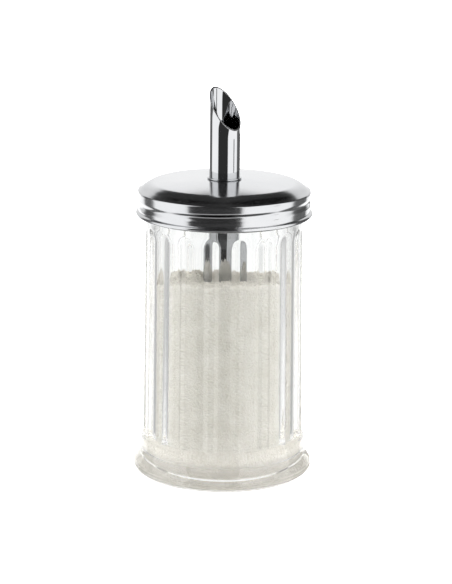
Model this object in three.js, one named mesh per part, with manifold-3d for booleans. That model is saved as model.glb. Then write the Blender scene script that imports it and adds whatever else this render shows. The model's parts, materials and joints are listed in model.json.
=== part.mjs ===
// Glass sugar dispenser: a ribbed jar, a screw lid of pressed steel sheet and a dosing tube that
// reaches down into the sugar. Millimetres, +Z up, origin at the centre of the jar's foot.

import * as THREE from 'three';
import { mergeVertices } from 'three/addons/utils/BufferGeometryUtils.js';
import Module from 'manifold-3d';

const wasm = await Module();
wasm.setup();

// Jar
const FOOT_RADIUS = 37.0;
const FOOT_ROUND = 1.8;
const FOOT_FLAT_RADIUS = 36.0;
const FOOT_RECESS_RADIUS = 26.5;
const FOOT_RECESS_DEPTH = 0.8;
const BAND_RADIUS = 33.95;
const LEDGE_HEIGHT = 14.8;
const RIB_COUNT = 18;
const RIB_HALF_WIDTH = 2.35;
const RIB_ROUND = 3.3;
const RIB_PROUD = RIB_ROUND - Math.sqrt(RIB_ROUND ** 2 - RIB_HALF_WIDTH ** 2);
const RIB_CREST_BOTTOM = 33.0;
const RIB_CREST_TOP = 31.95;
const RIB_PHASE = -8.6;
const SHOULDER_HEIGHT = 103.6;
const NECK_RADIUS = 32.0;
const RIM_HEIGHT = 117.0;
const RIM_ROUND = 1.1;
const CAVITY_RADIUS = 28.0;
const FLOOR_HEIGHT = 6.5;
const FLOOR_CORNER = 4.0;

// Lid
const SHEET = 0.5;
const SKIRT_RADIUS = 34.9;
const LID_RIM_RADIUS = 35.2;
const CROWN_HEIGHT = 121.8;
const CROWN_SPHERE = 300;
const CROWN_BREAK = 28.3;
const CROWN_BEND = 0.07;
const RIM_ROLL_HEIGHT = 116.6;
const HEM_RADIUS = 36.0;
const HEM_ROLL = 0.95;
const HEM_HEIGHT = 107.7;
const LID_HOLE_RADIUS = 6.4;

// Screw thread: one right-hand start, rolled inwards on the lid and moulded outwards on the neck
const PITCH = 4.0;
const LID_THREAD_HEIGHT = 109.7;
const LID_THREAD_START = 20;
const LID_THREAD_SWEEP = 500;
const LID_THREAD_CREST = 33.4;
const LID_THREAD_GROOVE = 34.35;
const NECK_THREAD_RISE = 1.6;
const NECK_THREAD_SWEEP = 325;
const NECK_THREAD_CREST = 33.8;
const THREAD_ROOT_HALF = 1.0;
const THREAD_CREST_HALF = 0.35;

// Dosing tube
const TUBE_RADIUS = 6.25;
const TUBE_WALL = 0.5;
const TUBE_BOTTOM = 12.0;
const MOUTH_HEIGHT = 150.2;
const MOUTH_FLARE = 0.5;
const MOUTH_SLOPE = 1.22;
const MOUTH_HEADING = -46;
const BEND_START = 128.0;

// Rings on the tube and the neck
const RING_BORE = 6.35;
const COLLAR_RADIUS = 6.95;
const COLLAR_THICKNESS = 0.5;
const LOCK_RADIUS = 9.0;
const LOCK_THICKNESS = 1.2;
const SEAL_INNER = 28.7;
const SEAL_OUTER = 32.0;
const SEAL_THICKNESS = 1.1;
const REST_GAP = 0.05;

// Sugar
const SUGAR_GAP = 0.3;
const SUGAR_HEIGHT = 85.0;
const SUGAR_CORE_HEIGHT = 83.0;
const SUGAR_BREAK = -9.0;
const SUGAR_SLOPE = 0.33;
const SUGAR_LUMP = 0.4;

const JAR_SEGMENTS = 60;
const SUGAR_SEGMENTS = 40;
const TUBE_SEGMENTS = 32;
const THREAD_STEP = 12.5;

const radians = THREE.MathUtils.degToRad;

// A closed geometry as a boolean solid: shared corners merged and collapsed triangles dropped.
function solidOf(geometry) {
  const bare = geometry.clone();
  bare.deleteAttribute('normal');
  bare.deleteAttribute('uv');
  const merged = mergeVertices(bare);
  const corners = merged.index.array;
  const kept = [];
  for (let i = 0; i < corners.length; i += 3) {
    const [a, b, c] = corners.slice(i, i + 3);
    if (a !== b && b !== c && c !== a) kept.push(a, b, c);
  }
  return new wasm.Manifold(new wasm.Mesh({
    numProp: 3,
    vertProperties: new Float32Array(merged.attributes.position.array),
    triVerts: new Uint32Array(kept),
  }));
}

function geometryOf(solid) {
  const mesh = solid.getMesh();
  const geometry = new THREE.BufferGeometry();
  geometry.setAttribute('position', new THREE.Float32BufferAttribute(mesh.vertProperties, 3));
  geometry.setIndex(new THREE.Uint32BufferAttribute(mesh.triVerts, 1));
  geometry.computeVertexNormals();
  return geometry;
}

// A profile of [radius, height] points, anticlockwise seen with the axis on its left, turned about +Z.
function turned(profile, segments) {
  const points = profile.map(([radius, height]) => new THREE.Vector2(radius, height));
  return new THREE.LatheGeometry(points, segments).rotateX(Math.PI / 2);
}

// Points of an arc about [radius, height], from one angle to another, in degrees.
function arc(radius, height, size, from, to, steps) {
  return Array.from({ length: steps + 1 }, (_, i) => {
    const angle = radians(from + ((to - from) * i) / steps);
    return [radius + size * Math.cos(angle), height + size * Math.sin(angle)];
  });
}

// A flat ring standing on a height.
function washer(inner, outer, bottom, thickness, segments) {
  const top = bottom + thickness;
  const profile = [[inner, bottom], [outer, bottom], [outer, top], [inner, top], [inner, bottom]];
  return geometryOf(solidOf(turned(profile, segments)));
}

// A ridge of trapezium section wound about +Z from a root radius to a crest radius, low at both ends.
function windRidge({ root, crest, height, start, sweep }) {
  const steps = Math.round(sweep / THREAD_STEP);
  const vertices = [];
  const faces = [];
  for (let i = 0; i <= steps; i += 1) {
    const turn = (sweep * i) / steps;
    const angle = radians(start + turn);
    const centre = height + (PITCH * turn) / 360;
    const fade = Math.min(1, (i + 0.4) / 2, (steps - i + 0.4) / 2);
    const peak = root + (crest - root) * fade;
    const section = [
      [root, -THREAD_ROOT_HALF],
      [peak, -THREAD_CREST_HALF],
      [peak, THREAD_CREST_HALF],
      [root, THREAD_ROOT_HALF],
    ];
    for (const [radius, rise] of section) {
      vertices.push(radius * Math.cos(angle), radius * Math.sin(angle), centre + rise);
    }
    for (let j = 0; i < steps && j < 4; j += 1) {
      const a = 4 * i + j;
      const b = 4 * i + ((j + 1) % 4);
      faces.push([a, a + 4, b], [b, a + 4, b + 4]);
    }
  }
  const last = 4 * steps;
  faces.push([0, 1, 2], [0, 2, 3], [last, last + 2, last + 1], [last, last + 3, last + 2]);
  const outward = crest > root;
  const index = faces.flatMap(([a, b, c]) => (outward ? [a, b, c] : [a, c, b]));
  const geometry = new THREE.BufferGeometry();
  geometry.setAttribute('position', new THREE.Float32BufferAttribute(vertices, 3));
  geometry.setIndex(index);
  return geometry;
}

// One upright rib: a round-ended bar sunk in the wall so that only a strip of it stands proud.
function rib(bearing) {
  const top = SHOULDER_HEIGHT - RIB_HALF_WIDTH;
  const length = top - LEDGE_HEIGHT;
  const lean = Math.atan((RIB_CREST_BOTTOM - RIB_CREST_TOP) / length);
  const bar = new THREE.CapsuleGeometry(RIB_ROUND, length, 5, 28);
  bar.rotateX(Math.PI / 2 - lean);
  const middle = (RIB_CREST_BOTTOM + RIB_CREST_TOP) / 2;
  bar.translate(0, RIB_ROUND - middle, (LEDGE_HEIGHT + top) / 2);
  return bar.rotateZ(radians(bearing));
}

// The flat panels between the ribs: a tapered prism whose corners lie under the ribs.
function panels() {
  const corner = Math.cos(Math.PI / RIB_COUNT);
  const top = (RIB_CREST_TOP - RIB_PROUD) / corner;
  const bottom = (RIB_CREST_BOTTOM - RIB_PROUD) / corner;
  const height = SHOULDER_HEIGHT + 0.3 - LEDGE_HEIGHT;
  const prism = new THREE.CylinderGeometry(top, bottom, height, RIB_COUNT);
  prism.rotateX(Math.PI / 2);
  prism.translate(0, 0, LEDGE_HEIGHT + height / 2);
  return prism.rotateZ(radians(RIB_PHASE));
}

function jarOutline() {
  const core = CAVITY_RADIUS + 1;
  return [
    [0, FOOT_RECESS_DEPTH],
    [FOOT_RECESS_RADIUS - 1, FOOT_RECESS_DEPTH],
    [FOOT_RECESS_RADIUS, 0],
    [FOOT_FLAT_RADIUS, 0],
    ...arc(FOOT_RADIUS - FOOT_ROUND, FOOT_ROUND, FOOT_ROUND, -35, 45, 4),
    [BAND_RADIUS + 0.6, 6.8],
    [BAND_RADIUS, 8.6],
    [BAND_RADIUS, LEDGE_HEIGHT - 1.3],
    [RIB_CREST_BOTTOM + 0.1, LEDGE_HEIGHT],
    [core, LEDGE_HEIGHT + 2.6],
    [core, SHOULDER_HEIGHT - 2],
    [NECK_RADIUS, SHOULDER_HEIGHT + 0.5],
    ...arc(NECK_RADIUS - RIM_ROUND, RIM_HEIGHT - RIM_ROUND, RIM_ROUND, 0, 90, 2),
    [0, RIM_HEIGHT],
  ];
}

function jarCavity() {
  const corner = CAVITY_RADIUS - FLOOR_CORNER;
  return [
    [0, FLOOR_HEIGHT],
    ...arc(corner, FLOOR_HEIGHT + FLOOR_CORNER, FLOOR_CORNER, -90, 0, 4),
    ...arc(CAVITY_RADIUS + RIM_ROUND, RIM_HEIGHT - RIM_ROUND, RIM_ROUND, 180, 90, 2),
    [CAVITY_RADIUS + RIM_ROUND, RIM_HEIGHT + 1],
    [0, RIM_HEIGHT + 1],
  ];
}

function glassJar() {
  const thread = windRidge({
    root: NECK_RADIUS - 0.5,
    crest: NECK_THREAD_CREST,
    height: LID_THREAD_HEIGHT + NECK_THREAD_RISE,
    start: LID_THREAD_START,
    sweep: NECK_THREAD_SWEEP,
  });
  let jar = solidOf(turned(jarOutline(), JAR_SEGMENTS)).add(solidOf(thread)).add(solidOf(panels()));
  for (let i = 0; i < RIB_COUNT; i += 1) {
    jar = jar.add(solidOf(rib(RIB_PHASE + (360 * i) / RIB_COUNT)));
  }
  return geometryOf(jar.subtract(solidOf(turned(jarCavity(), JAR_SEGMENTS))));
}

// Height of the crown's upper face at a radius: a shallow cap that bends down outside the break radius.
function crown(radius) {
  const cap = radius ** 2 / (2 * CROWN_SPHERE);
  const bend = CROWN_BEND * Math.max(0, radius - CROWN_BREAK) ** 2;
  return CROWN_HEIGHT - cap - bend;
}

function lidProfile() {
  const reach = [33.4, 31.8, 30, CROWN_BREAK, 20, 12, LID_HOLE_RADIUS];
  const wall = SKIRT_RADIUS - SHEET;
  const roll = LID_RIM_RADIUS - 0.8;
  const hem = arc(HEM_RADIUS - HEM_ROLL, HEM_HEIGHT, HEM_ROLL, -140, 90, 7);
  return [
    ...hem,
    [SKIRT_RADIUS, HEM_HEIGHT + HEM_ROLL + 0.6],
    ...arc(roll, RIM_ROLL_HEIGHT, 0.8, 0, 75, 3),
    ...reach.map((radius) => [radius, crown(radius)]),
    ...[...reach].reverse().map((radius) => [radius, crown(radius) - SHEET]),
    [roll + 0.2, RIM_ROLL_HEIGHT + 0.3],
    [wall, RIM_ROLL_HEIGHT - 1.2],
    [wall, HEM_HEIGHT + HEM_ROLL],
    hem[0],
  ];
}

function lidShell() {
  const thread = { height: LID_THREAD_HEIGHT, start: LID_THREAD_START, sweep: LID_THREAD_SWEEP };
  const ridge = windRidge({ ...thread, root: SKIRT_RADIUS - 0.2, crest: LID_THREAD_CREST });
  const groove = windRidge({ ...thread, root: SKIRT_RADIUS + 0.5, crest: LID_THREAD_GROOVE });
  const sheet = solidOf(turned(lidProfile(), JAR_SEGMENTS));
  return geometryOf(sheet.add(solidOf(ridge)).subtract(solidOf(groove)));
}

// The mouth is cut on a slope: every point above the bend start sinks towards the mouth's heading.
function slopeMouth(geometry) {
  const heading = radians(MOUTH_HEADING);
  const position = geometry.attributes.position;
  for (let i = 0; i < position.count; i += 1) {
    const share = (position.getZ(i) - BEND_START) / (MOUTH_HEIGHT - BEND_START);
    const along = position.getX(i) * Math.cos(heading) + position.getY(i) * Math.sin(heading);
    const sink = MOUTH_SLOPE * along * THREE.MathUtils.clamp(share, 0, 1);
    position.setZ(i, position.getZ(i) - sink);
  }
  return geometry;
}

function dosingTube() {
  const inner = TUBE_RADIUS - TUBE_WALL;
  const flare = [[BEND_START, 0], [MOUTH_HEIGHT - 3.6, 0], [MOUTH_HEIGHT - 1.4, 0.4], [MOUTH_HEIGHT, 1]];
  const profile = [
    [inner, TUBE_BOTTOM],
    [TUBE_RADIUS, TUBE_BOTTOM],
    ...flare.map(([height, share]) => [TUBE_RADIUS + MOUTH_FLARE * share, height]),
    ...flare.reverse().map(([height, share]) => [inner + MOUTH_FLARE * share, height]),
    [inner, TUBE_BOTTOM],
  ];
  return geometryOf(solidOf(slopeMouth(turned(profile, TUBE_SEGMENTS))));
}

// Upper face of the sugar: level in front, falling away behind, with shallow lumps.
function heap(x, y) {
  const fall = SUGAR_SLOPE * Math.max(0, y - SUGAR_BREAK);
  const lump = SUGAR_LUMP * (Math.sin(0.37 * x + 1) + Math.cos(0.29 * x - 0.41 * y));
  return SUGAR_HEIGHT - fall + lump;
}

function sugarFill() {
  const radius = CAVITY_RADIUS - SUGAR_GAP;
  const floor = FLOOR_HEIGHT + SUGAR_GAP;
  const slotOuter = TUBE_RADIUS + SUGAR_GAP;
  const slotInner = TUBE_RADIUS - TUBE_WALL - SUGAR_GAP;
  const slotFloor = TUBE_BOTTOM - SUGAR_GAP;
  const geometry = turned([
    [0, floor],
    ...arc(radius - FLOOR_CORNER, floor + FLOOR_CORNER, FLOOR_CORNER, -90, 0, 4),
    ...[radius, 22, 16, 11, slotOuter].map((reach) => [reach, SUGAR_HEIGHT]),
    [slotOuter, slotFloor],
    [slotInner, slotFloor],
    [slotInner, SUGAR_CORE_HEIGHT],
    [0, SUGAR_CORE_HEIGHT],
  ], SUGAR_SEGMENTS);
  const position = geometry.attributes.position;
  for (let i = 0; i < position.count; i += 1) {
    const onTop = position.getZ(i) > SUGAR_CORE_HEIGHT + 1;
    if (onTop) position.setZ(i, heap(position.getX(i), position.getY(i)));
  }
  return geometryOf(solidOf(geometry));
}

function sealRing() {
  return washer(SEAL_INNER, SEAL_OUTER, RIM_HEIGHT + REST_GAP, SEAL_THICKNESS, JAR_SEGMENTS);
}

function tubeCollar() {
  return washer(RING_BORE, COLLAR_RADIUS, CROWN_HEIGHT + REST_GAP, COLLAR_THICKNESS, TUBE_SEGMENTS);
}

function lockRing() {
  const top = crown(LOCK_RADIUS) - SHEET - REST_GAP;
  return washer(RING_BORE, LOCK_RADIUS, top - LOCK_THICKNESS, LOCK_THICKNESS, TUBE_SEGMENTS);
}

const glass = { color: 0xeef1f0, roughness: 0.03, metalness: 0, transparent: true, opacity: 0.35 };
const steel = { color: 0xc9cacc, roughness: 0.08, metalness: 1 };
const sugar = { color: 0xd9d3c9, roughness: 0.9, metalness: 0 };
const rubber = { color: 0xe6e4de, roughness: 0.6, metalness: 0 };

function piece(name, geometry, finish) {
  const mesh = new THREE.Mesh(geometry, new THREE.MeshStandardMaterial(finish));
  mesh.name = name;
  return mesh;
}

const group = new THREE.Group();
group.add(
  piece('glass_jar', glassJar(), glass),
  piece('sugar_fill', sugarFill(), sugar),
  piece('lid_seal_ring', sealRing(), rubber),
  piece('tube_collar', tubeCollar(), steel),
  piece('tube_lock_ring', lockRing(), steel),
  piece('lid_shell', lidShell(), steel),
  piece('dosing_tube', dosingTube(), steel),
);

export default group;
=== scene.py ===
"""Sugar dispenser: ribbed glass jar, screw lid and dosing tube of polished steel, sugar inside."""

import json
import math

import bpy
import numpy as np
from mathutils import Matrix, Vector


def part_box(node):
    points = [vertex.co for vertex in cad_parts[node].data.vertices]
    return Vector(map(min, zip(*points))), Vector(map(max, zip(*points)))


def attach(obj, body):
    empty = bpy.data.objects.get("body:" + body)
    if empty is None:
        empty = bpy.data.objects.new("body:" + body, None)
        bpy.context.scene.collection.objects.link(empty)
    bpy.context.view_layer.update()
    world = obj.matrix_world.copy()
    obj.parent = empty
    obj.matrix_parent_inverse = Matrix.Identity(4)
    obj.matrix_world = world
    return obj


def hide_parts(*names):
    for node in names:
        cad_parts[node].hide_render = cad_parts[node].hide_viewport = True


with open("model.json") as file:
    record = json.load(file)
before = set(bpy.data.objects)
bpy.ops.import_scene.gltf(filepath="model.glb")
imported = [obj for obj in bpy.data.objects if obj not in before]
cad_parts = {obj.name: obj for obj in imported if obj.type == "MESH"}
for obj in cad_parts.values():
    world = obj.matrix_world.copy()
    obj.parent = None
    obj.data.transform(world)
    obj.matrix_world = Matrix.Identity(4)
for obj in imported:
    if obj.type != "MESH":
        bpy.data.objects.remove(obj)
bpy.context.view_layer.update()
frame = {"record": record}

MM = 0.001


def node_mm(node):
    """(lowest corner, highest corner) of a CAD node, in millimetres."""
    low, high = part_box(node)
    return np.array(low) / MM, np.array(high) / MM


JAR_HIGH = node_mm("glass_jar")[1]
LID_LOW, LID_HIGH = node_mm("lid_shell")
TUBE_LOW, TUBE_HIGH = node_mm("dosing_tube")
SEAL_LOW, SEAL_HIGH = node_mm("lid_seal_ring")
COLLAR_LOW, COLLAR_HIGH = node_mm("tube_collar")
LOCK_LOW, LOCK_HIGH = node_mm("tube_lock_ring")
RATIO = frame["record"]["behaviour"]["couplings"][0]["ratio"]

# Radius of the smallest ring of points round the axis, in millimetres
CENTRE = 1.5

# Foot and band of the jar, millimetres
FOOT_RADIUS = JAR_HIGH[0]
FOOT_ROUND = 1.8
FOOT_FLAT = 36.0
FOOT_RECESS = 26.5
RECESS_HEIGHT = 0.8
RECESS_BEVEL = 1.2
BAND_RADIUS = 33.95
LEDGE_HEIGHT = 14.8

# Wall of the jar, millimetres and degrees. RIB_PHASE is the bearing of the first rib off the front
RIB_COUNT = 18
RIB_PHASE = -8.6
RIB_HALF = 2.35
RIB_ROUND = 3.3
RIB_PROUD = RIB_ROUND - math.sqrt(RIB_ROUND ** 2 - RIB_HALF ** 2)
RIB_CREST_BOTTOM = 33.0
RIB_CREST_TOP = 31.95
RIB_BLEND = 0.9
RIB_EDGE = (RIB_HALF - 0.5, RIB_HALF + 0.6)
SHOULDER_HEIGHT = 103.6
WALL_START = LEDGE_HEIGHT + 2
PANEL_END = SHOULDER_HEIGHT - 5
NECK_START = SHOULDER_HEIGHT + 1
RELIEF_START = (LEDGE_HEIGHT - 0.2, LEDGE_HEIGHT + 1.0)
RELIEF_END = (SHOULDER_HEIGHT - 1.1, SHOULDER_HEIGHT + 0.9)

# Neck and inside of the jar, millimetres
RIM_HEIGHT = JAR_HIGH[2]
RIM_ROUND = 1.1
NECK_RADIUS = 32.0
NECK_FINE = RIM_HEIGHT - 7.5
CAVITY_RADIUS = 28.0
CAVITY_TOP = RIM_HEIGHT - 2.0
FLOOR_HEIGHT = 6.5
FLOOR_CORNER = 4.0

# Lid, millimetres and degrees
SHEET = 0.5
HEM_RADIUS = LID_HIGH[0]
HEM_ROLL = 0.95
HEM_HEIGHT = LID_LOW[2] + HEM_ROLL
HEM_ARC = (-165, 80)
SKIRT_RADIUS = HEM_RADIUS - 1.05
SKIRT_BOTTOM = HEM_HEIGHT + HEM_ROLL + 0.35
RIM_RADIUS = SKIRT_RADIUS + 0.25
ROLL_RADIUS = 0.8
ROLL_HEIGHT = 116.6
ROLL_ARC = 62
CROWN_HEIGHT = LID_HIGH[2]
CROWN_SPHERE = 300.0
CROWN_EDGE = 33.6
CROWN_BREAK = 28.3
CROWN_INNER = 27.5
CROWN_BEND = 0.07
UNDER_INSET = 0.15
LID_HOLE = 6.4
HOLE_BEVEL = 0.1
HOLE_MARGIN = 0.3
INNER_WALL = (HEM_HEIGHT + 0.3, ROLL_HEIGHT - 0.8)

# Screw thread, millimetres and degrees
PITCH = RATIO * 2 * math.pi / MM
THREAD_START = 20.0
THREAD_FADE_IN = 22
THREAD_FADE_OUT = 40
LID_THREAD_HEIGHT = 109.7
LID_THREAD_SWEEP = 540.0
LID_THREAD_DEPTH = 0.6
LID_THREAD_HALF = PITCH / 2
NECK_THREAD_HEIGHT = LID_THREAD_HEIGHT + 1.6
NECK_THREAD_SWEEP = 325.0
NECK_THREAD_DEPTH = 1.8
NECK_THREAD_HALF = 1.0

# Dosing tube, millimetres. TUBE_ROWS are depths below the mouth, closer together near the lip.
# The lip flares by LIP_FLARE on the mouth's low side and by FLARE_HIGH_SIDE of that on its high side
TUBE_RADIUS = 6.25
TUBE_WALL = 0.5
TUBE_BOTTOM = TUBE_LOW[2]
TUBE_EDGE = 0.05
TUBE_BEVEL = 0.1
TUBE_ROWS = [90, 40, 20, 12, 8, 5.5, 4.2, 3.4, 2.8, 2.3, 1.8, 1.4, 1.0, 0.7, 0.45, 0.25, 0.1]
LIP_DEPTH = 0.06
LIP_ARC = (0.3, math.pi - 0.3)
LIP_FLARE = 0.2
FLARE_MEAN = 0.6
FLARE_SWING = 0.4
FLARE_HIGH_SIDE = 0.2
MOUTH_SLOPE = 1.3
MOUTH_HEADING = math.radians(-46)
FLARE_LENGTH = 4.0
MOUTH_HEIGHT = TUBE_HIGH[2] - MOUTH_SLOPE * (TUBE_RADIUS + FLARE_HIGH_SIDE * LIP_FLARE)

# Rings, millimetres
COLLAR_BORE = 6.32
COLLAR_ROUND = 0.16
LOCK_BORE = 6.35
LOCK_ROUND = 0.25
SEAL_BORE = 28.7
SEAL_ROUND = 0.3

# Sugar, millimetres. A clump is (x of its middle, width, height)
SUGAR_HEIGHT = 83.7
SUGAR_SLOPE = 0.33
SUGAR_BREAK = 8.0
SUGAR_DIP = 0.2
SUGAR_RISE = 0.05
SUGAR_RADIUS = 27.8
SUGAR_CLUMPS = [
    (16.6, 1.0, -2.0),
    (20.5, 1.6, 0.5),
    (-17.0, 1.6, 0.8),
    (-10.5, 1.3, 0.8),
    (-21.5, 1.4, 0.5),
]
CLUMP_REACH = 7
LUMP_HEIGHT = 0.4
RIPPLE_HEIGHTS = (0.22, 0.18)
CRUMB_HEIGHTS = (0.22, 0.16)
SUGAR_PRESS = 0.08
SLOT_OUTER = TUBE_RADIUS + 0.15
SLOT_INNER = TUBE_RADIUS - TUBE_WALL - 0.3
SLOT_FLOOR = TUBE_BOTTOM - 0.3
CORE_EDGE = 0.2
CORE_TOP = SUGAR_HEIGHT - 1.8

# Painted light: a glow painted on the sugar's upper face, which leaves painted shade near the tube:
# strength, distances from the axis in metres and upward tilts between which it sets in
SUGAR_PAINTED_GLOW = 0.16
PAINTED_GLOW_REACH = (0.010, 0.021)
PAINTED_GLOW_TILT = (0.3, 0.8)

# Loose grains, millimetres and radians
GRAIN_SEED = 7
GRAIN_COUNT = 5200
GRAIN_REACH = (TUBE_RADIUS + 1.0, SUGAR_RADIUS - 0.8)
GRAIN_SIZES = (0.22, 0.42)
GRAIN_TURN = 6.3
GRAIN_LIFT = (-0.3, 0.7)
GRAIN_STRETCH = (0.7, 1.2)

# Floor, millimetres
GROUND_HALF = 3000
GROUND_HEIGHT = -0.2
GROUND_GLOW = 0.7

# Camera: metres and radians, the lens and the sensor in millimetres. The shifts are shares of the
# frame's height, which is in pixels
CAMERA_DISTANCE = 0.900
CAMERA_ELEVATION = math.radians(14.56)
CAMERA_TARGET = 0.070
CAMERA_ROLL = math.radians(0.5)
SENSOR = 36.0
LENS = 135.0
FRAME_HEIGHT = 584
SHIFT_X = 2.6 / FRAME_HEIGHT
SHIFT_Y = 9.8 / FRAME_HEIGHT
CLIP = (0.01, 20)

# The studio. Bearings are degrees from the camera's side, positive to its right. Rises are degrees
# above level. "Away" is the distance in degrees from the bearing straight behind the part.

# Brightness of the white walls
WALL_LEVEL = 1.42
# Dark gaps between the white walls: low and high bearing, brightness, edge softness
FRONT_GAP = (-49, 24)
DARK_GAPS = [
    (*FRONT_GAP, 0.03, 1.0),
    (104, 142, 0.12, 2.0),
    (-133, -108, 0.12, 3.0),
]
# The front of the table in the front gap: low and high rise, brightness, softness of both edges
WINDOW_RISE = (-46, -24)
WINDOW_LEVEL = 0.6
WINDOW_SOFT_SIDE = 3
WINDOW_SOFT_EDGE = 4
# Narrow dark stands that only the upright wall of the tube mirrors. TUBE_RISE is the low and high
# rise that they span, and its edge softness
TUBE_GAPS = [
    (69.5, 76.5, 0.02, 0.4),
    (138, 172, 0.1, 2.0),
    (-142, -130, 0.1, 1.5),
]
TUBE_RISE = (-11.45, -5.0, 0.25)
# The wall behind that the dome mirrors: brightness low and high and the rises of both, the share
# left to the sides and where it is reached, the rises where the wall sets in, and where it ends
DOME_LEVELS = (1.09, 1.30)
DOME_RISE = (0.0, 20.0)
DOME_SIDE = 0.76
DOME_SIDE_AWAY = (3.0, 22.0)
DOME_START = (-3.0, 1.0)
DOME_END_AWAY = (90.0, 70.0)
# The dark ceiling: rise of its edge straight behind, how fast the edge climbs to the sides,
# where it stops climbing, its bow, its highest rise, edge softness, brightness
CEILING_EDGE = 20.6
CEILING_CLIMB = 0.56
CEILING_STEP = 12.0
CEILING_CURVE = 0.0083
CEILING_TOP = 63.0
CEILING_SOFT = 0.8
CEILING_LEVEL = 0.04
# The dark part steeply below in front: rise of its edge, bearings and softness, brightness
STEEP = -48.0
STEEP_SOFT = 3
STEEP_BEARING = (-100, 100, 12)
STEEP_LEVEL = 0.06
# The gaps as they show through the glass
GLASS_GAPS = [
    (*FRONT_GAP, 0.03, 1.0),
    (104, 142, 0.7, 4.0),
    (-133, -108, 0.7, 4.0),
]
# Brightness through the glass straight behind and to the sides, for paths with one reflection and
# for all others, and how far away each fades
SIDE_LEVEL = 0.74
CLEAR_LEVEL = 1.2
CLEAR_AWAY = (8.0, 50.0)
PLAIN_LEVEL = 1.05
PLAIN_AWAY = (8.0, 55.0)
# The table seen through glass: rise of its edge, edge softness, brightness
TABLE_EDGE = -22.0
TABLE_SOFT = 1.5
TABLE_LEVEL = 1.1
# Light on matt pieces: level in front and behind, the share left from below and the rises between
# which it falls to that
SOFT_LEVELS = (1.78, 4.3)
SOFT_UNDER = 0.27
SOFT_FALL = (0.0, -30.0)


# ---------------------------------------------------------------- mesh helpers

def smooth(low, high, value):
    """0 below low, 1 above high, with a smooth rise between."""
    t = np.clip((value - low) / (high - low), 0, 1)
    return t * t * (3 - 2 * t)


def arc(radius, height, size, start, end, steps):
    """Points of an arc about (radius, height), from start to end in degrees."""
    angles = np.radians(np.linspace(start, end, steps + 1))
    return [(radius + size * math.cos(a), height + size * math.sin(a)) for a in angles]


def line(first, last, steps):
    """Points from first to last, without last."""
    shares = np.linspace(0, 1, steps, endpoint=False)
    return [tuple(np.array(first) * (1 - s) + np.array(last) * s) for s in shares]


def curve(points, steps):
    """A smooth curve through points, evenly stepped (Catmull-Rom)."""
    p = np.array([points[0], *points, points[-1]], float)
    made = []
    for u in np.linspace(0, len(points) - 1, steps):
        i = min(int(u), len(points) - 2)
        t = u - i
        a, b, c, d = p[i:i + 4]
        made.append(tuple(0.5 * (2 * b + (c - a) * t + (2 * a - 5 * b + 4 * c - d) * t ** 2
                                 + (3 * b - a - 3 * c + d) * t ** 3)))
    return made


def mesh_object(name, vertices, faces, material):
    """A smooth-shaded mesh object from millimetres."""
    mesh = bpy.data.meshes.new(name)
    mesh.from_pydata((np.asarray(vertices) * MM).tolist(), [], faces)
    mesh.polygons.foreach_set("use_smooth", [True] * len(mesh.polygons))
    mesh.materials.append(material)
    mesh.update()
    obj = bpy.data.objects.new(name, mesh)
    bpy.context.scene.collection.objects.link(obj)
    return obj


def grid_faces(rows, columns, closed):
    """Quads of a grid that wraps round its columns, and round its rows too where closed."""
    faces = []
    for i in range(rows if closed else rows - 1):
        a, b = i * columns, ((i + 1) % rows) * columns
        for j in range(columns):
            k = (j + 1) % columns
            faces.append((a + j, a + k, b + k, b + j))
    return faces


def grid_points(angles, radii, heights):
    """The points of a grid in cylinder coordinates, row by row."""
    return np.stack([radii * np.cos(angles), radii * np.sin(angles), heights], -1).reshape(-1, 3)


def revolve(name, path, angles, material, relief=None):
    """Turns path, (radius, height) points, about Z. relief(angles, radii, heights) bends the grid.

    A path that starts and ends on the axis closes with a cap; any other path closes on itself."""
    capped = path[0][0] < 1e-6
    inner = path[1:-1] if capped else path
    radii = np.array([p[0] for p in inner])[:, None] + np.zeros(len(angles))
    heights = np.array([p[1] for p in inner])[:, None] + np.zeros(len(angles))
    if relief:
        radii, heights = relief(angles, radii, heights)
    grid = grid_points(angles, radii, heights)
    rows, columns = radii.shape
    faces = grid_faces(rows, columns, closed=not capped)
    if capped:
        low, high = len(grid), len(grid) + 1
        grid = np.vstack([grid, [[0, 0, path[0][1]], [0, 0, path[-1][1]]]])
        last = (rows - 1) * columns
        for j in range(columns):
            k = (j + 1) % columns
            faces.append((low, k, j))
            faces.append((high, last + j, last + k))
    return mesh_object(name, grid, faces, material)


def even_angles(columns):
    """Column angles in equal steps."""
    return np.arange(columns) * 2 * math.pi / columns


# ---------------------------------------------------------------- material helpers

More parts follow.
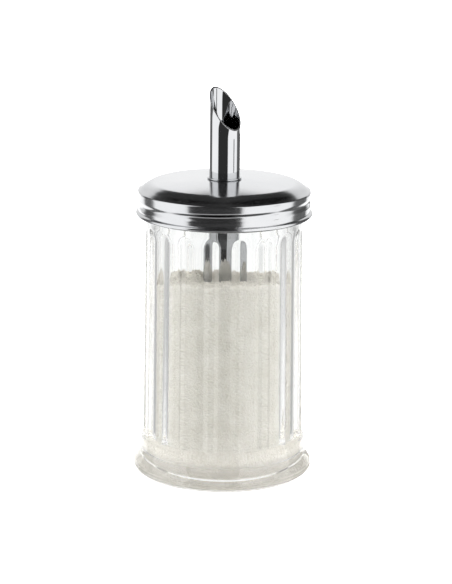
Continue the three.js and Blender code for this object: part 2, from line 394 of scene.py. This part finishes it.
class Nodes:
    """The node tree of a material or a world, built in a few words."""

    def __init__(self, owner, output="OutputMaterial"):
        owner.use_nodes = True
        self.owner = owner
        self.tree = owner.node_tree
        self.tree.nodes.clear()
        self.output = self.tree.nodes.new("ShaderNode" + output)

    def add(self, kind, inputs=None, **settings):
        """A new node. Inputs are values or other nodes' sockets."""
        node = self.tree.nodes.new("ShaderNode" + kind)
        for key, value in settings.items():
            setattr(node, key, value)
        for key, value in (inputs or {}).items():
            self.set(node.inputs[key], value)
        return node

    def set(self, socket, value):
        """Links value where it is a socket, and sets it otherwise."""
        if isinstance(value, bpy.types.NodeSocket):
            self.tree.links.new(value, socket)
        else:
            socket.default_value = value

    def math(self, operation, *values):
        """The result of one operation on up to three values."""
        return self.add("Math", dict(enumerate(values)), operation=operation).outputs[0]

    def noise(self, place, scale, detail):
        return self.add("TexNoise", {"Vector": place, "Scale": scale, "Detail": detail}).outputs["Fac"]

    def ramp(self, factor, low, high, first, last):
        """first below low, last above high."""
        node = self.add("ValToRGB", {"Fac": factor})
        node.color_ramp.elements[0].position = low
        node.color_ramp.elements[1].position = high
        node.color_ramp.elements[0].color = (*first, 1)
        node.color_ramp.elements[1].color = (*last, 1)
        return node.outputs["Color"]

    def remap(self, value, low, high, first=0.0, last=1.0):
        """first where value is low, last where it is high, and held at both ends."""
        limits = {"From Min": low, "From Max": high, "To Min": first, "To Max": last}
        return self.add("MapRange", {"Value": value, **limits}).outputs[0]

    def mix(self, factor, first, last):
        """first where factor is 0, last where it is 1."""
        values = {"Factor": factor, "A": first, "B": last}
        return self.add("Mix", values, data_type="FLOAT").outputs[0]

    def place(self):
        """Object coordinates, in metres."""
        return self.add("TexCoord").outputs["Object"]

    def bump(self, height, distance, strength):
        inputs = {"Height": height, "Distance": distance, "Strength": strength}
        return self.add("Bump", inputs).outputs["Normal"]

    def finish(self, shader):
        """Puts the shader on the surface and returns the material or world."""
        self.tree.links.new(shader, self.output.inputs["Surface"])
        return self.owner


def glass_material():
    """Clear pressed glass: faint green-grey tint, slow waves from the mould."""
    m = Nodes(bpy.data.materials.new("clear_glass"))
    place = m.place()
    wave = m.noise(place, 55.0, 1.0)
    cloud = m.noise(place, 20.0, 2.0)
    haze = m.noise(place, 140.0, 3.0)
    shader = m.add("BsdfPrincipled", {
        "Base Color": m.ramp(cloud, 0.3, 0.7, (0.985, 0.995, 0.99), (0.995, 1.0, 0.998)),
        "Roughness": m.remap(haze, 0.0, 1.0, 0.0, 0.012),
        "IOR": 1.5,
        "Transmission Weight": 1.0,
        "Normal": m.bump(wave, 0.0004, 0.25),
    })
    return m.finish(shader.outputs["BSDF"])


def steel_material(name, dull, bright):
    """Stainless sheet: soft stretch marks and a little unevenness in the shine."""
    m = Nodes(bpy.data.materials.new(name))
    place = m.place()
    stretched = m.add("Mapping", {"Vector": place, "Scale": (1.0, 1.0, 0.12)}).outputs[0]
    grain = m.noise(stretched, 900.0, 3.0)
    cloud = m.noise(place, 60.0, 3.0)
    shader = m.add("BsdfPrincipled", {
        "Base Color": m.ramp(cloud, 0.3, 0.7, (0.565, 0.575, 0.59), (0.615, 0.62, 0.63)),
        "Metallic": 1.0,
        "Roughness": m.remap(grain, 0.0, 1.0, bright, dull),
        "Normal": m.bump(cloud, 0.0003, 0.06),
    })
    return m.finish(shader.outputs["BSDF"])


def painted_glow_mask(m, place):
    """1 on the sugar's upper face, away from the tube: where the painted glow falls, so the face near the
    tube stays in painted shade.
    """
    parts = m.add("SeparateXYZ", {0: place})
    squares = [m.math("POWER", parts.outputs[axis], 2.0) for axis in (0, 1)]
    reach = m.math("SQRT", m.math("ADD", *squares))
    facing = m.add("SeparateXYZ", {0: m.add("NewGeometry").outputs["Normal"]}).outputs[2]
    return m.math("MULTIPLY", m.remap(reach, *PAINTED_GLOW_REACH), m.remap(facing, *PAINTED_GLOW_TILT))


def sugar_material():
    """Granulated sugar: warm white grains with bright facets and darker gaps, and painted light glowing on
    its upper face away from the tube.
    """
    m = Nodes(bpy.data.materials.new("granulated_sugar"))
    place = m.place()
    grains = m.add("TexVoronoi", {"Vector": place, "Scale": 1400.0, "Randomness": 1.0}).outputs["Distance"]
    clump = m.noise(place, 140.0, 4.0)
    shade = m.math("ADD", m.math("MULTIPLY", grains, 0.5), m.math("MULTIPLY", clump, 0.6))
    shader = m.add("BsdfPrincipled", {
        "Base Color": m.ramp(shade, 0.25, 0.85, (0.93, 0.90, 0.835), (0.75, 0.715, 0.63)),
        "Roughness": 0.55,
        # Painted light: the upper face glows warm white, which leaves painted shade near the tube
        "Emission Color": (1.0, 0.97, 0.91, 1),
        "Emission Strength": m.math("MULTIPLY", painted_glow_mask(m, place), SUGAR_PAINTED_GLOW),
        "Normal": m.bump(grains, 0.0006, 0.6),
    })
    return m.finish(shader.outputs["BSDF"])


def seal_material():
    """Milky food-grade rubber."""
    m = Nodes(bpy.data.materials.new("milky_rubber"))
    cloud = m.noise(m.place(), 300.0, 3.0)
    shader = m.add("BsdfPrincipled", {
        "Base Color": m.ramp(cloud, 0.3, 0.7, (0.70, 0.69, 0.66), (0.78, 0.77, 0.74)),
        "Roughness": m.remap(cloud, 0.0, 1.0, 0.5, 0.7),
        "Normal": m.bump(cloud, 0.0001, 0.3),
    })
    return m.finish(shader.outputs["BSDF"])


GLASS = glass_material()
LID_STEEL = steel_material("spun_steel", dull=0.19, bright=0.12)
TUBE_STEEL = steel_material("polished_steel", dull=0.065, bright=0.03)
SUGAR = sugar_material()
RUBBER = seal_material()


def stand_in(obj, node, body):
    """obj takes the place of a CAD node and rides on its body."""
    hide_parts(node)
    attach(obj, body)
    return obj


# ---------------------------------------------------------------- screw thread

def thread_swell(angles, heights, base, sweep, half):
    """0 to 1 over a helical ridge that starts at THREAD_START and climbs PITCH each turn."""
    swell = np.zeros_like(heights)
    for whole in range(math.ceil(sweep / 360)):
        turned = (np.degrees(angles) - THREAD_START) % 360 + 360 * whole
        centre = base + PITCH * turned / 360
        across = np.clip(np.abs(heights - centre) / half, 0, 1)
        ends = smooth(0, THREAD_FADE_IN, turned) * (1 - smooth(sweep - THREAD_FADE_OUT, sweep, turned))
        swell = np.maximum(swell, ends * np.cos(across * math.pi / 2) ** 2)
    return swell


# ---------------------------------------------------------------- jar

def rib_angles():
    """Column angles, packed over each rib and its edges."""
    pitch = 2 * math.pi / RIB_COUNT
    near = np.linspace(0, RIB_EDGE[0], 6, endpoint=False)
    edge = np.linspace(*RIB_EDGE, 7, endpoint=False)
    far = np.linspace(RIB_EDGE[1], pitch / 2 * RIB_CREST_TOP, 4)
    half = np.concatenate([near, edge, far]) / RIB_CREST_TOP
    one = np.concatenate([-half[:0:-1], half[:-1]])
    first = math.radians(RIB_PHASE - 90)
    return np.concatenate([first + i * pitch + one for i in range(RIB_COUNT)])


def soft_max(a, b, width):
    """The larger of a and b, blended where they are close."""
    near = np.maximum(0, width - np.abs(a - b))
    return np.maximum(a, b) + near ** 2 / (4 * width)


def ribbed_wall(angles, heights):
    """Radius of the wall: flat panels, and round-ended ribs over their corners."""
    pitch = 2 * math.pi / RIB_COUNT
    offset = (angles - math.radians(RIB_PHASE - 90) + pitch / 2) % pitch - pitch / 2
    share = (heights - LEDGE_HEIGHT) / (SHOULDER_HEIGHT - LEDGE_HEIGHT)
    crest = RIB_CREST_BOTTOM + (RIB_CREST_TOP - RIB_CREST_BOTTOM) * np.clip(share, 0, 1)
    panel = (crest - RIB_PROUD) / np.cos(pitch / 2 - np.abs(offset))
    panel = panel + (NECK_RADIUS - panel) * smooth(PANEL_END, NECK_START, heights)
    centre = crest - RIB_ROUND
    above = np.maximum(0, heights - (SHOULDER_HEIGHT - RIB_HALF))
    inside = RIB_ROUND ** 2 - above ** 2 - (centre * np.sin(offset)) ** 2
    rib = centre * np.cos(offset) + np.sqrt(np.maximum(0, inside))
    rib = np.where(inside > 0, rib, 0)
    return soft_max(panel, rib, RIB_BLEND)


def jar_relief(rows):
    """Panels, ribs and the neck's thread on these rows; the foot, rim and inside stay plain."""
    def relief(angles, radii, heights):
        window = smooth(*RELIEF_START, heights) * (1 - smooth(*RELIEF_END, heights))
        shaped = radii + (ribbed_wall(angles, heights) - radii) * window
        swell = thread_swell(angles, heights, NECK_THREAD_HEIGHT, NECK_THREAD_SWEEP, NECK_THREAD_HALF)
        radii[rows] = shaped[rows] + NECK_THREAD_DEPTH * swell[rows]
        return radii, heights
    return relief


def foot_outline():
    """The recessed underside and the rounded edge of the foot, from the axis outwards."""
    return [
        (0, RECESS_HEIGHT),
        *line((CENTRE, RECESS_HEIGHT), (FOOT_RECESS - RECESS_BEVEL, RECESS_HEIGHT), 8),
        *line((FOOT_RECESS - RECESS_BEVEL, RECESS_HEIGHT), (FOOT_RECESS, 0.0), 3),
        *line((FOOT_RECESS, 0.0), (FOOT_FLAT - 0.3, 0.0), 6),
        (FOOT_FLAT, 0.02),
        *arc(FOOT_RADIUS - FOOT_ROUND, FOOT_ROUND, FOOT_ROUND, -60, 30, 9),
    ]


def waist_outline(start):
    """From the foot's edge in to the band, and over the ledge to the foot of the ribs."""
    return curve([
        start, (36.55, 3.6), (35.6, 5.1), (BAND_RADIUS + 0.62, 6.9), (BAND_RADIUS + 0.12, 8.6),
        (BAND_RADIUS, 9.8), (BAND_RADIUS, LEDGE_HEIGHT - 1.7), (BAND_RADIUS - 0.2, LEDGE_HEIGHT - 0.9),
        (RIB_CREST_BOTTOM + 0.25, LEDGE_HEIGHT - 0.2), (RIB_CREST_BOTTOM, LEDGE_HEIGHT + 0.6),
    ], 40)


def cavity_outline():
    """From the rim down the inner wall and over the floor to the axis."""
    corner = CAVITY_RADIUS - FLOOR_CORNER
    return [
        *arc(CAVITY_RADIUS + RIM_ROUND, RIM_HEIGHT - RIM_ROUND, RIM_ROUND, 90, 180, 6),
        *line((CAVITY_RADIUS, CAVITY_TOP), (CAVITY_RADIUS, FLOOR_HEIGHT + FLOOR_CORNER), 30),
        *arc(corner, FLOOR_HEIGHT + FLOOR_CORNER, FLOOR_CORNER, 0, -90, 10),
        *line((corner - 1, FLOOR_HEIGHT), (CENTRE, FLOOR_HEIGHT), 8),
        (CENTRE, FLOOR_HEIGHT),
        (0, FLOOR_HEIGHT),
    ]


def make_jar():
    foot = foot_outline()
    waist = waist_outline(foot[-1])
    wall = [
        *line(waist[-1], (RIB_CREST_BOTTOM, WALL_START), 10),
        *line((RIB_CREST_BOTTOM, WALL_START), (RIB_CREST_TOP, PANEL_END), 16),
        *line((RIB_CREST_TOP, PANEL_END), (NECK_RADIUS, NECK_START), 40),
        *line((NECK_RADIUS, NECK_START), (NECK_RADIUS, NECK_FINE), 8),
        *line((NECK_RADIUS, NECK_FINE), (NECK_RADIUS, RIM_HEIGHT - RIM_ROUND), 30),
    ]
    rim = arc(NECK_RADIUS - RIM_ROUND, RIM_HEIGHT - RIM_ROUND, RIM_ROUND, 0, 90, 6)
    below = foot + waist[1:-1]
    # The grid has no row for the path's first point, which lies on the axis
    rows = slice(len(below) - 1, len(below) + len(wall) - 1)
    path = below + wall + rim + cavity_outline()
    jar = revolve("jar_glass", path, rib_angles(), GLASS, jar_relief(rows))
    return stand_in(jar, "glass_jar", "jar")


# ---------------------------------------------------------------- lid

def crown(radius):
    """Height of the lid's upper face: nearly flat, bent down towards the rim."""
    cap = radius ** 2 / (2 * CROWN_SPHERE)
    bend = CROWN_BEND * max(0.0, radius - CROWN_BREAK) ** 2
    return CROWN_HEIGHT - cap - bend


def lid_relief(outer_rows, inner_rows):
    """The rolled thread, pressed into both faces of the skirt."""
    def relief(angles, radii, heights):
        swell = thread_swell(angles, heights, LID_THREAD_HEIGHT, LID_THREAD_SWEEP, LID_THREAD_HALF)
        for rows in (outer_rows, inner_rows):
            radii[rows] -= LID_THREAD_DEPTH * swell[rows]
        return radii, heights
    return relief


def make_lid():
    """The outline runs round the sheet: up the skirt, in over the crown, and back underneath."""
    roll = RIM_RADIUS - ROLL_RADIUS
    edge = np.linspace(CROWN_EDGE, CROWN_BREAK, 14)
    reach = np.concatenate([edge, np.linspace(CROWN_INNER, LID_HOLE + HOLE_MARGIN, 24)])
    hem = arc(HEM_RADIUS - HEM_ROLL, HEM_HEIGHT, HEM_ROLL, *HEM_ARC, 22)
    skirt = line((SKIRT_RADIUS, SKIRT_BOTTOM), (RIM_RADIUS, ROLL_HEIGHT - 0.1), 50)
    rim = arc(roll, ROLL_HEIGHT, ROLL_RADIUS, 0, ROLL_ARC, 8)
    top = [(r, crown(r)) for r in reach]
    hole = [(LID_HOLE, CROWN_HEIGHT - HOLE_BEVEL), (LID_HOLE, CROWN_HEIGHT - SHEET + HOLE_BEVEL)]
    under = [(r - UNDER_INSET, crown(r) - SHEET) for r in reach[::-1]]
    bend = arc(roll, ROLL_HEIGHT, ROLL_RADIUS - SHEET, ROLL_ARC, 0, 3)
    wall = line((SKIRT_RADIUS - SHEET, INNER_WALL[1]), (SKIRT_RADIUS - SHEET, INNER_WALL[0]), 44)
    path = hem + skirt + rim + top + hole + under + bend + wall
    outer = slice(len(hem), len(hem) + len(skirt))
    inner = slice(len(path) - len(wall), len(path))
    lid = revolve("lid_steel", path, even_angles(288), LID_STEEL, lid_relief(outer, inner))
    return stand_in(lid, "lid_shell", "lid")


# ---------------------------------------------------------------- tube and rings

def tube_end_rows(columns, mid, half):
    """Radii and heights of the rows across the tube's flat lower end."""
    radii, heights = [], []
    for offset in (-half, -half + TUBE_EDGE, 0.0, half - TUBE_EDGE, half):
        lift = TUBE_BEVEL if abs(offset) == half else 0.0
        radii.append(np.full(columns, mid + offset))
        heights.append(np.full(columns, TUBE_BOTTOM + lift))
    return radii, heights


def make_tube():
    """The wall runs straight up to the slanted mouth, whose lip turns outwards."""
    half = TUBE_WALL / 2
    mid = TUBE_RADIUS - half
    angles = even_angles(128)
    toward = np.cos(angles - MOUTH_HEADING)
    mouth = MOUTH_HEIGHT - MOUTH_SLOPE * TUBE_RADIUS * toward
    outer = [(half, depth) for depth in TUBE_ROWS]
    lip = [(half * math.cos(a), LIP_DEPTH - half * math.sin(a)) for a in np.linspace(*LIP_ARC, 6)]
    inner = [(-half, depth) for depth in TUBE_ROWS[::-1]]
    radii, heights = tube_end_rows(len(angles), mid, half)
    for offset, depth in outer + lip + inner:
        depth_in_wall = max(depth, 0.0)
        flare = LIP_FLARE * max(0.0, 1 - depth_in_wall / FLARE_LENGTH) ** 2
        flare = flare * (FLARE_MEAN + FLARE_SWING * toward)
        sink = MOUTH_SLOPE * (flare + offset - half) * toward
        radii.append(mid + offset + flare)
        heights.append(mouth - sink * math.exp(-depth_in_wall) - depth_in_wall)
    grid = grid_points(angles, np.array(radii), np.array(heights))
    tube = mesh_object("tube_steel", grid, grid_faces(len(radii), len(angles), True), TUBE_STEEL)
    return stand_in(tube, "dosing_tube", "lid")


def rounded_ring(name, bore, low, high, r, columns, material):
    """A ring with edges rounded by r, as wide and high as the CAD box from low to high."""
    outer, bottom, top = high[0], low[2], high[2]
    path = [
        *arc(outer - r, bottom + r, r, -90, 0, 4),
        *arc(outer - r, top - r, r, 0, 90, 4),
        *arc(bore + r, top - r, r, 90, 180, 4),
        *arc(bore + r, bottom + r, r, 180, 270, 4),
    ]
    return revolve(name, path, even_angles(columns), material)


def make_collar():
    """The thin ring round the tube on top of the lid."""
    collar = rounded_ring("collar_steel", COLLAR_BORE, COLLAR_LOW, COLLAR_HIGH, COLLAR_ROUND, 96, TUBE_STEEL)
    return stand_in(collar, "tube_collar", "collars")


def make_lock_ring():
    """The ring under the lid that clamps the tube."""
    lock = rounded_ring("lock_ring_steel", LOCK_BORE, LOCK_LOW, LOCK_HIGH, LOCK_ROUND, 96, TUBE_STEEL)
    return stand_in(lock, "tube_lock_ring", "collars")


def make_seal():
    """The flat seal between the jar's rim and the lid."""
    seal = rounded_ring("seal_rubber", SEAL_BORE, SEAL_LOW, SEAL_HIGH, SEAL_ROUND, 144, RUBBER)
    return stand_in(seal, "lid_seal_ring", "seal")


# ---------------------------------------------------------------- sugar

def heap(x, y):
    """Height of the sugar's upper face: it sinks towards the tube, rises to a crest behind it and falls.

    Waves of three lengths roughen it, and clumps stand along the crest."""
    fall = SUGAR_DIP * np.clip(y + SUGAR_RADIUS, 0, SUGAR_RADIUS - TUBE_RADIUS)
    fall = fall - SUGAR_RISE * np.clip(y + TUBE_RADIUS, 0, TUBE_RADIUS + SUGAR_BREAK)
    fall = fall + SUGAR_SLOPE * np.maximum(0, y - SUGAR_BREAK)
    lump = LUMP_HEIGHT * (np.sin(0.37 * x + 1) + np.cos(0.29 * x - 0.41 * y))
    ripple = RIPPLE_HEIGHTS[0] * np.sin(1.3 * x + 0.7 * y)
    ripple = ripple + RIPPLE_HEIGHTS[1] * np.cos(1.9 * y - 1.1 * x + 2)
    crumb = CRUMB_HEIGHTS[0] * np.sin(2.9 * x + 1.1 * y) * np.cos(2.3 * y - 0.8 * x)
    crumb = crumb + CRUMB_HEIGHTS[1] * np.sin(4.1 * x - 1.7 * y)
    near = np.exp(-((y - SUGAR_BREAK) / CLUMP_REACH) ** 2)
    for middle, width, height in SUGAR_CLUMPS:
        lump = lump + height * near * np.exp(-((x - middle) / width) ** 2)
    return SUGAR_HEIGHT - fall + lump + ripple + crumb


def sugar_outline(floor):
    """Up the jar's inner wall, in over the top, round the slot of the tube, and up its core."""
    pressed = CAVITY_RADIUS + SUGAR_PRESS
    corner = floor + FLOOR_CORNER
    return [
        (0, floor),
        *line((CENTRE, floor), (pressed - FLOOR_CORNER, floor), 8),
        *arc(pressed - FLOOR_CORNER, corner, FLOOR_CORNER, -90, 0, 8),
        *line((pressed, corner + 0.5), (pressed, LEDGE_HEIGHT - 0.5), 3),
        *line((SUGAR_RADIUS, LEDGE_HEIGHT), (SUGAR_RADIUS, SUGAR_HEIGHT - 1), 40),
        *[(r, SUGAR_HEIGHT) for r in np.linspace(SUGAR_RADIUS, SLOT_OUTER, 46)],
        *line((SLOT_OUTER, SUGAR_HEIGHT - 1), (SLOT_OUTER, SLOT_FLOOR), 6),
        (SLOT_OUTER, SLOT_FLOOR),
        (SLOT_INNER, SLOT_FLOOR),
        *line((SLOT_INNER, SLOT_FLOOR + 1), (SLOT_INNER, SUGAR_HEIGHT - 2), 6),
        (SLOT_INNER - CORE_EDGE, SUGAR_HEIGHT - 2),
        (CENTRE, CORE_TOP),
        (0, CORE_TOP),
    ]


def make_sugar():
    floor = FLOOR_HEIGHT - SUGAR_PRESS

    def relief(angles, radii, heights):
        """Stretches everything outside the tube's bore up or down to the heap."""
        top = heap(radii * np.cos(angles), radii * np.sin(angles))
        share = np.clip((heights - floor) / (SUGAR_HEIGHT - floor), 0, 1)
        stretched = (radii > SLOT_INNER + 0.2) & (heights > SLOT_FLOOR + 0.1)
        return radii, np.where(stretched, floor + share * (top - floor), heights)

    sugar = revolve("sugar_body", sugar_outline(floor), even_angles(300), SUGAR, relief)
    return stand_in(sugar, "sugar_fill", "jar")


def make_crystals():
    """Loose grains on the sugar's upper face."""
    rng = np.random.default_rng(GRAIN_SEED)
    count = GRAIN_COUNT
    cube = np.array([[x, y, z] for x in (-1, 1) for y in (-1, 1) for z in (-1, 1)], float)
    sides = [(0, 1, 3, 2), (4, 6, 7, 5), (0, 4, 5, 1), (2, 3, 7, 6), (0, 2, 6, 4), (1, 5, 7, 3)]
    reach = np.sqrt(rng.uniform(GRAIN_REACH[0] ** 2, GRAIN_REACH[1] ** 2, count))
    bearing = rng.uniform(0, 2 * math.pi, count)
    vertices, faces = [], []
    for i, (r, a) in enumerate(zip(reach, bearing)):
        x, y = r * math.cos(a), r * math.sin(a)
        size = rng.uniform(*GRAIN_SIZES)
        angle = rng.uniform(0, GRAIN_TURN)
        axis = Vector(rng.normal(size=3)).normalized()
        turn = np.array(Matrix.Rotation(angle, 3, axis))
        centre = np.array([x, y, heap(x, y) + size * rng.uniform(*GRAIN_LIFT)])
        vertices.append(cube * size * rng.uniform(*GRAIN_STRETCH, 3) @ turn + centre)
        faces += [tuple(8 * i + k for k in side) for side in sides]
    grains = mesh_object("sugar_crystals", np.vstack(vertices), faces, SUGAR)
    grains.data.polygons.foreach_set("use_smooth", [False] * len(faces))
    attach(grains, "jar")


# ---------------------------------------------------------------- studio

def floor_material():
    """Pale and lit to white for the camera, and clear to every other ray."""
    m = Nodes(bpy.data.materials.new("pale_floor"))
    cloud = m.noise(m.place(), 3.0, 2.0)
    soft = m.add("BsdfDiffuse", {"Color": m.ramp(cloud, 0.3, 0.7, (0.90, 0.90, 0.90), (0.93, 0.93, 0.93))})
    glow = m.add("Emission", {"Color": (1, 1, 1, 1), "Strength": GROUND_GLOW})
    lit = m.add("AddShader", {0: soft.outputs[0], 1: glow.outputs[0]})
    clear = m.add("BsdfTransparent")
    to_camera = m.add("LightPath").outputs["Is Camera Ray"]
    seen = m.add("MixShader", {0: to_camera, 1: clear.outputs[0], 2: lit.outputs[0]})
    return m.finish(seen.outputs[0])


def make_floor():
    sides = [(-1, -1), (1, -1), (1, 1), (-1, 1)]
    corners = [(x * GROUND_HALF, y * GROUND_HALF, GROUND_HEIGHT) for x, y in sides]
    mesh_object("floor", corners, [(0, 1, 2, 3)], floor_material())


def ray_angles(m):
    """Bearing and rise of a ray, in degrees, the bearing from the camera's side."""
    camera = m.add("VectorTransform", {0: (0, 0, 1)},
                   vector_type="VECTOR", convert_from="CAMERA", convert_to="WORLD")
    forward = m.add("SeparateXYZ", {0: camera.outputs[0]})
    ray = m.add("SeparateXYZ", {0: m.add("TexCoord").outputs["Generated"]})
    heading = m.math("ARCTAN2", forward.outputs[1], forward.outputs[0])
    azimuth = m.math("ARCTAN2", ray.outputs[1], ray.outputs[0])
    turn = m.math("SUBTRACT", m.math("SUBTRACT", azimuth, heading), math.pi)
    bearing = m.math("MULTIPLY", m.math("WRAP", turn, math.pi, -math.pi), 180 / math.pi)
    rise = m.math("MULTIPLY", m.math("ARCSINE", ray.outputs[2]), 180 / math.pi)
    return bearing, rise


def bar(m, value, low, high, edge):
    """1 between low and high, with soft edges."""
    up = m.remap(value, low - edge, low + edge)
    down = m.remap(value, high - edge, high + edge)
    return m.math("MULTIPLY", up, m.math("SUBTRACT", 1.0, down))


def dim(m, level, mask, share):
    """level, taken down to share of itself where mask is 1."""
    return m.math("MULTIPLY", level, m.math("SUBTRACT", 1.0, m.math("MULTIPLY", mask, 1 - share)))


def dome_wall(m, rise, away):
    """White walls, less bright behind the part, where the lid's dome mirrors them."""
    glow = m.remap(rise, *DOME_RISE, *DOME_LEVELS)
    flank = m.remap(away, *DOME_SIDE_AWAY, 1.0, DOME_SIDE)
    behind = m.math("MULTIPLY", m.remap(rise, *DOME_START), m.remap(away, *DOME_END_AWAY))
    return m.mix(behind, WALL_LEVEL, m.math("MULTIPLY", glow, flank))


def above_ceiling_edge(m, rise, away):
    """1 above the edge of the ceiling, which climbs to both sides."""
    climb = m.math("MINIMUM", m.math("MULTIPLY", away, CEILING_CLIMB), CEILING_STEP)
    bow = m.math("MULTIPLY", m.math("MULTIPLY", away, away), CEILING_CURVE)
    edge = m.math("ADD", m.math("MAXIMUM", climb, bow), CEILING_EDGE)
    edge = m.math("MINIMUM", edge, CEILING_TOP)
    return m.remap(m.math("SUBTRACT", rise, edge), -CEILING_SOFT, CEILING_SOFT)


def mirrored_level(m, bearing, rise, away):
    """Brightness in straight reflections: walls, gaps, ceiling and the steep front."""
    level = dome_wall(m, rise, away)
    for low, high, share, edge in DARK_GAPS:
        level = dim(m, level, bar(m, bearing, low, high, edge), share)
    upright = bar(m, rise, *TUBE_RISE)
    for low, high, share, edge in TUBE_GAPS:
        level = dim(m, level, m.math("MULTIPLY", bar(m, bearing, low, high, edge), upright), share)
    front = bar(m, bearing, *FRONT_GAP, WINDOW_SOFT_SIDE)
    window = m.math("MULTIPLY", front, bar(m, rise, *WINDOW_RISE, WINDOW_SOFT_EDGE))
    level = m.math("MAXIMUM", level, m.math("MULTIPLY", window, WINDOW_LEVEL))
    level = dim(m, level, above_ceiling_edge(m, rise, away), CEILING_LEVEL)
    steep = m.remap(rise, STEEP + STEEP_SOFT, STEEP - STEEP_SOFT)
    return dim(m, level, m.math("MULTIPLY", steep, bar(m, bearing, *STEEP_BEARING)), STEEP_LEVEL)


def glass_level(m, light, bearing, rise, away):
    """Brightness through the glass: gaps and table for paths with one reflection, plain for others."""
    clear = m.remap(away, *CLEAR_AWAY, CLEAR_LEVEL, SIDE_LEVEL)
    for low, high, share, edge in GLASS_GAPS:
        clear = dim(m, clear, bar(m, bearing, low, high, edge), share)
    table = m.remap(rise, TABLE_EDGE + TABLE_SOFT, TABLE_EDGE - TABLE_SOFT)
    clear = m.mix(table, clear, TABLE_LEVEL)
    plain = m.remap(away, *PLAIN_AWAY, PLAIN_LEVEL, SIDE_LEVEL)
    one_reflection = m.math("COMPARE", light.outputs["Glossy Depth"], 1.0, 0.5)
    return m.mix(one_reflection, plain, clear)


def soft_level(m, bearing, rise):
    """Light that falls on matt pieces: strongest from behind and above."""
    toward_camera = m.math("COSINE", m.math("MULTIPLY", bearing, math.pi / 180))
    behind = m.math("MULTIPLY_ADD", toward_camera, -0.5, 0.5)
    soft = m.remap(behind, 0.0, 1.0, *SOFT_LEVELS)
    return dim(m, soft, m.remap(rise, *SOFT_FALL), SOFT_UNDER)


def make_world():
    """A studio that turns with the camera, and is plain white to the camera itself."""
    m = Nodes(bpy.data.worlds.new("studio"), "OutputWorld")
    light = m.add("LightPath")
    bearing, rise = ray_angles(m)
    away = m.math("SUBTRACT", 180.0, m.math("ABSOLUTE", bearing))
    through = m.math("GREATER_THAN", light.outputs["Transmission Depth"], 0.5)
    mirrored = mirrored_level(m, bearing, rise, away)
    level = m.mix(through, mirrored, glass_level(m, light, bearing, rise, away))
    matt = m.math("GREATER_THAN", light.outputs["Diffuse Depth"], 0.5)
    level = m.mix(matt, level, soft_level(m, bearing, rise))
    level = m.mix(light.outputs["Is Camera Ray"], level, 1.0)
    back = m.add("Background", {"Color": (1, 1, 1, 1), "Strength": level})
    world = m.finish(back.outputs[0])
    world.cycles.sampling_method = "NONE"
    bpy.context.scene.world = world


def make_camera():
    """A long lens from the front and a little above, as the photograph was taken."""
    data = bpy.data.cameras.new("camera")
    data.sensor_width = SENSOR
    data.lens = LENS
    data.shift_x = SHIFT_X
    data.shift_y = SHIFT_Y
    data.clip_start, data.clip_end = CLIP
    camera = bpy.data.objects.new("camera", data)
    bpy.context.scene.collection.objects.link(camera)
    back = Vector((0, -math.cos(CAMERA_ELEVATION), math.sin(CAMERA_ELEVATION)))
    camera.location = Vector((0, 0, CAMERA_TARGET)) + back * CAMERA_DISTANCE
    look = (-back).to_track_quat("-Z", "Y").to_matrix()
    roll = Matrix.Rotation(CAMERA_ROLL, 3, "Z")
    camera.rotation_euler = (look @ roll).to_euler()
    bpy.context.scene.camera = camera


make_jar()
make_lid()
make_tube()
make_collar()
make_lock_ring()
make_seal()
make_sugar()
make_crystals()
make_floor()
make_world()
make_camera()

scene = bpy.context.scene
scene.view_settings.view_transform = "Standard"
scene.cycles.max_bounces = 32
scene.cycles.glossy_bounces = 24
scene.cycles.transmission_bounces = 20
scene.cycles.transparent_max_bounces = 12
